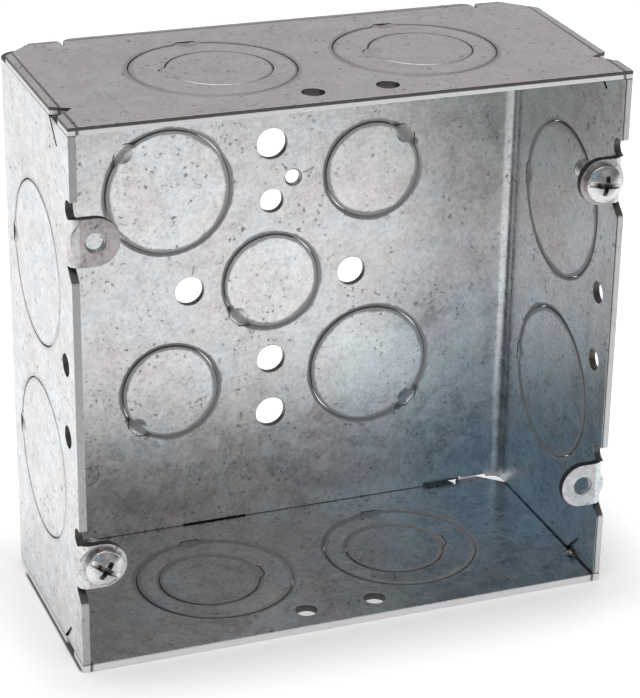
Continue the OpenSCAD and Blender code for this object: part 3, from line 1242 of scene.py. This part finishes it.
@dataclass
class JunctionBox:
    """The whole box: its sheet metal, knockouts, cover screws and tapped holes."""

    frame: Mapping[str, Any]
    shell: Shell
    tie_half_width: float = 3.0 * MM
    ground_at: tuple[float, float] = (5 * MM, 24 * MM)
    ring_offset: float = 19.05 * MM
    tab: tuple[float, float] = (46.4 * MM, 55.4 * MM)
    notch_behind_mouth: float = 10.2 * MM
    knockouts: list[Knockout] = field(default_factory=list)

    def read_knockouts(self) -> None:
        """Finds every knockout from the frame's hinges."""
        middle = Vector((0.0, 0.0, self.shell.middle))
        for joint in self.frame["joints"]:
            if joint["type"] == "hinge":
                self.knockouts.append(Knockout.from_joint(joint, middle))

    def on(self, *walls: Wall) -> tuple[Knockout, ...]:
        """The knockouts of some walls.

        Args:
            walls: The walls.

        Returns:
            Their knockouts.
        """
        return tuple(k for k in self.knockouts if k.wall in walls)

    def rings(self, wall: Wall) -> tuple[Knockout, ...]:
        """The outer rings of a wall's double knockouts."""
        return tuple(k for k in self.on(wall) if "ring" in k.name)

    def dress(self, node: str, material: bpy.types.Material) -> None:
        """Gives a CAD node one material.

        Args:
            node: The node's name.
            material: Its material.
        """
        slots = self.frame["nodes"][node].data.materials
        slots.clear()
        slots.append(material)
        LOG.info("dressed %s in %s", node, material.name)

    def tie_spots(self, knockout: Knockout) -> list[Smudge]:
        """The two dark spots at the ends of a knockout's tie."""
        return [Smudge(end, 1.25 * MM, 0.62) for end in knockout.tie_ends(self.tie_half_width)]

    def back_strokes(self) -> list[Stroke]:
        """Ticks that the punches left beside the small holes of the back.

        Returns:
            A radial tick on two sides of the ground hole and above the left hole.
        """
        y = self.shell.back_face
        ground = Vector((self.ground_at[0], y, self.shell.middle + self.ground_at[1]))
        left = Vector((-self.ring_offset, y, self.shell.middle))
        ticks = []
        for centre, degrees, near, far in (
            (ground, 128.0, 2.6, 4.2), (ground, 20.0, 2.6, 5.0), (left, 80.0, 4.0, 6.0),
        ):
            angle = math.radians(degrees)
            out = Vector((math.cos(angle), 0.0, math.sin(angle)))
            ticks.append(Stroke(centre + out * near * MM, centre + out * far * MM, 0.32 * MM, 0.5))
        return ticks

    def notch_spots(self, plate_z: float) -> list[Smudge]:
        """Grease and shadow in the two relief notches of one plate.

        Args:
            plate_z: The height of the plate's inside face.

        Returns:
            One spot for each notch.
        """
        y = self.shell.mouth + self.notch_behind_mouth
        return [Smudge(Vector((side * self.shell.inner, y, plate_z)), 2.6 * MM, 0.85) for side in (-1, 1)]

    def tab_spots(self) -> list[Smudge]:
        """Dark spots where the corner tabs of the top plate were sheared."""
        shell = self.shell
        near, far = self.tab
        return [
            Smudge(Vector((side * x, shell.back - shell.sheet / 2, shell.height)), reach * MM, 0.5)
            for side in (-1, 1)
            for x, reach in ((near + 1.6 * MM, 2.0), (far - 0.4 * MM, 1.8), (near - 7 * MM, 1.3))
        ]

    def build_sheet(self) -> None:
        """Dresses the folded body, the two plates and every knockout."""
        shell = self.shell
        zinc = Galvanised()
        mauve = Galvanised(tone=(0.655, 0.628, 0.638), warm=(0.66, 0.585, 0.60), cool=(0.61, 0.62, 0.62),
                           rubbed_and_shaded=(0.30, 0.26, 0.27), contrast=0.9)
        # The back knockouts get a painted brightening.
        disc = Galvanised(level=1.10, edge=0.15 * MM)
        # The bottom plate gets a brighter painted sheen round the lower right corner.
        lower = Galvanised(shade=(1.32, 1.40, 1.48), shade_reach=52 * MM)
        plates = {Wall.TOP: mauve, Wall.BOTTOM: lower}
        discs = {**plates, Wall.BACK: disc}
        low, high = shell.sheet, shell.height - shell.sheet
        body = [*self.back_strokes(), *self.notch_spots(low), *self.notch_spots(high)]
        for knockout in self.on(Wall.BACK):
            body += self.tie_spots(knockout)
        start, end = (Vector((x * MM, y * MM, shell.height)) for x, y in ((-46.8, -7.6), (-46.2, -20.3)))
        scratch = Stroke(start, end, 0.35 * MM, 0.13)
        struck = {
            "body_wrap": Marks(shell, None, self.on(Wall.BACK, Wall.LEFT, Wall.RIGHT), tuple(body)),
            "top_plate": Marks(shell, Wall.TOP, self.rings(Wall.TOP),
                               (scratch, *self.tab_spots(), *self.notch_spots(high))),
            "bottom_plate": Marks(shell, Wall.BOTTOM, self.rings(Wall.BOTTOM),
                                  tuple(self.notch_spots(low))),
        }
        for seed, (node, marks) in enumerate(struck.items()):
            finish = plates.get(marks.wall, zinc)
            self.dress(node, finish.material(f"galvanised_{node}", marks, 20.0 * seed))
        for number, knockout in enumerate(self.knockouts):
            near = self.on(knockout.wall) if "ring" in knockout.name else (knockout,)
            finish = discs.get(knockout.wall, zinc)
            spots = tuple(self.tie_spots(knockout)) if knockout.wall is Wall.BACK else ()
            marks = Marks(shell, knockout.wall, near, spots)
            material = finish.material(f"galvanised_{knockout.name}", marks, 20.0 * (number % 3))
            self.dress(knockout.name, material)

    def build_screws(self) -> None:
        """Builds the two cover screws."""
        plate = ZincPlate()
        turns = {"cover_screw_upper_right": -8.0, "cover_screw_lower_left": -35.0}
        for seed, (node, turn) in enumerate(turns.items()):
            screw = CoverScrew(node, math.radians(turn), f"{node}_threaded").build()
            screw.data.materials.append(plate.material(f"zinc_{node}", 7.0 * seed))
            LOG.info("built %s with %d faces", screw.name, len(screw.data.polygons))

    def build_threads(self) -> None:
        """Cuts the threads of the two free ears and of the ground hole."""
        shell = self.shell
        finish = ZincPlate(tone=(0.6, 0.6, 0.6), roughness=0.35).material("tapped_zinc", 3.0)
        east, north = (pitch / 2 for pitch in shell.ear_pitch)
        ground_x, ground_z = self.ground_at
        for name, place, radius in (
            ("ear_thread_upper_left", Vector((-east, shell.ear_face, shell.middle + north)), 2.135 * MM),
            ("ear_thread_lower_right", Vector((east, shell.ear_face, shell.middle - north)), 2.135 * MM),
            ("ground_thread", Vector((ground_x, shell.back_face, shell.middle + ground_z)), 2.0 * MM),
        ):
            thread = TappedThread(name, place, radius).build()
            thread.data.materials.append(finish)
            LOG.info("built %s", name)


# ---- Studio ----------------------------------------------------------------


@dataclass
class Softbox:
    """One large soft light."""

    name: str
    place: Vector
    target: Vector
    width: float
    height: float
    power: float
    colour: Colour = (1.0, 1.0, 1.0)

    def build(self) -> bpy.types.Object:
        """Builds the light, turned to its target.

        Returns:
            The light.
        """
        lamp = bpy.data.lights.new(self.name, "AREA")
        lamp.shape = "RECTANGLE"
        lamp.size, lamp.size_y = self.width, self.height
        lamp.energy = self.power
        lamp.color = self.colour
        light = bpy.data.objects.new(self.name, lamp)
        light.location = self.place
        light.rotation_euler = (self.target - self.place).to_track_quat("-Z", "Y").to_euler()
        bpy.context.scene.collection.objects.link(light)
        return light


@dataclass
class Studio:
    """Pale floor, soft lights and the camera."""

    shell: Shell
    eye: Vector = Vector((-0.1801, -0.4770, 0.2823))
    turn: tuple[float, float, float] = (64.689, -1.982, -23.080)
    lens: float = 133.6
    shift: tuple[float, float] = (-0.1831, 0.0817)
    sky: Colour = (0.17, 0.175, 0.185)

    def build_floor(self) -> None:
        """Lays the floor just under the box."""
        half, depth = 4.0, -0.15 * MM
        corners = [(-half, -half, depth), (half, -half, depth), (half, half, depth), (-half, half, depth)]
        mesh = bpy.data.meshes.new("floor")
        mesh.from_pydata(corners, [], [(0, 1, 2, 3)])
        mesh.materials.append(PaleFloor(self.shell).material("pale_floor"))
        floor = bpy.data.objects.new("floor", mesh)
        bpy.context.scene.collection.objects.link(floor)

    def build_lights(self) -> None:
        """Sets the sky and the softboxes."""
        world = bpy.data.worlds.new("studio")
        world.use_nodes = True
        world.node_tree.nodes["Background"].inputs["Color"].default_value = (*self.sky, 1.0)
        world.node_tree.nodes["Background"].inputs["Strength"].default_value = 1.0
        bpy.context.scene.world = world
        middle = Vector((0.0, 0.0, 0.06))
        for box in (
            Softbox("overhead", Vector((-0.15, 0.02, 1.1)), Vector((-0.05, 0.0, 0.0)), 1.2, 1.2, 9.0),
            Softbox("backdrop", Vector((0.6, 1.7, 0.85)), middle, 2.4, 1.3, 3.6, (1.0, 0.94, 0.96)),
            Softbox("front_left", Vector((-0.8, -1.5, 0.85)), middle, 1.3, 1.0, 1.15, (0.5, 0.85, 1.0)),
            Softbox("front_right", Vector((0.75, -1.6, 0.85)), middle, 1.2, 0.9, 1.0, (1.0, 0.97, 0.93)),
        ):
            box.build()

    def build_camera(self) -> None:
        """Sets the camera that frames the box from the left and above."""
        data = bpy.data.cameras.new("camera")
        data.lens = self.lens
        data.shift_x, data.shift_y = self.shift
        data.clip_start, data.clip_end = 0.02, 20.0
        camera = bpy.data.objects.new("camera", data)
        camera.location = self.eye
        camera.rotation_euler = [math.radians(a) for a in self.turn]
        bpy.context.scene.collection.objects.link(camera)
        bpy.context.scene.camera = camera

    def build(self) -> None:
        """Builds the whole studio."""
        self.build_floor()
        self.build_lights()
        self.build_camera()
        scene = bpy.context.scene
        scene.view_settings.view_transform = "Standard"
        scene.view_settings.look = "None"


def main() -> None:
    """Builds the studio and the box, in order."""
    logging.basicConfig(level=logging.INFO, format="%(message)s")
    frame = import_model()
    shell = Shell.from_frame(CoverScrew.length)
    Studio(shell).build()
    box = JunctionBox(frame, shell)
    box.read_knockouts()
    box.build_sheet()
    box.build_screws()
    box.build_threads()


if __name__ == "__main__":
    main()
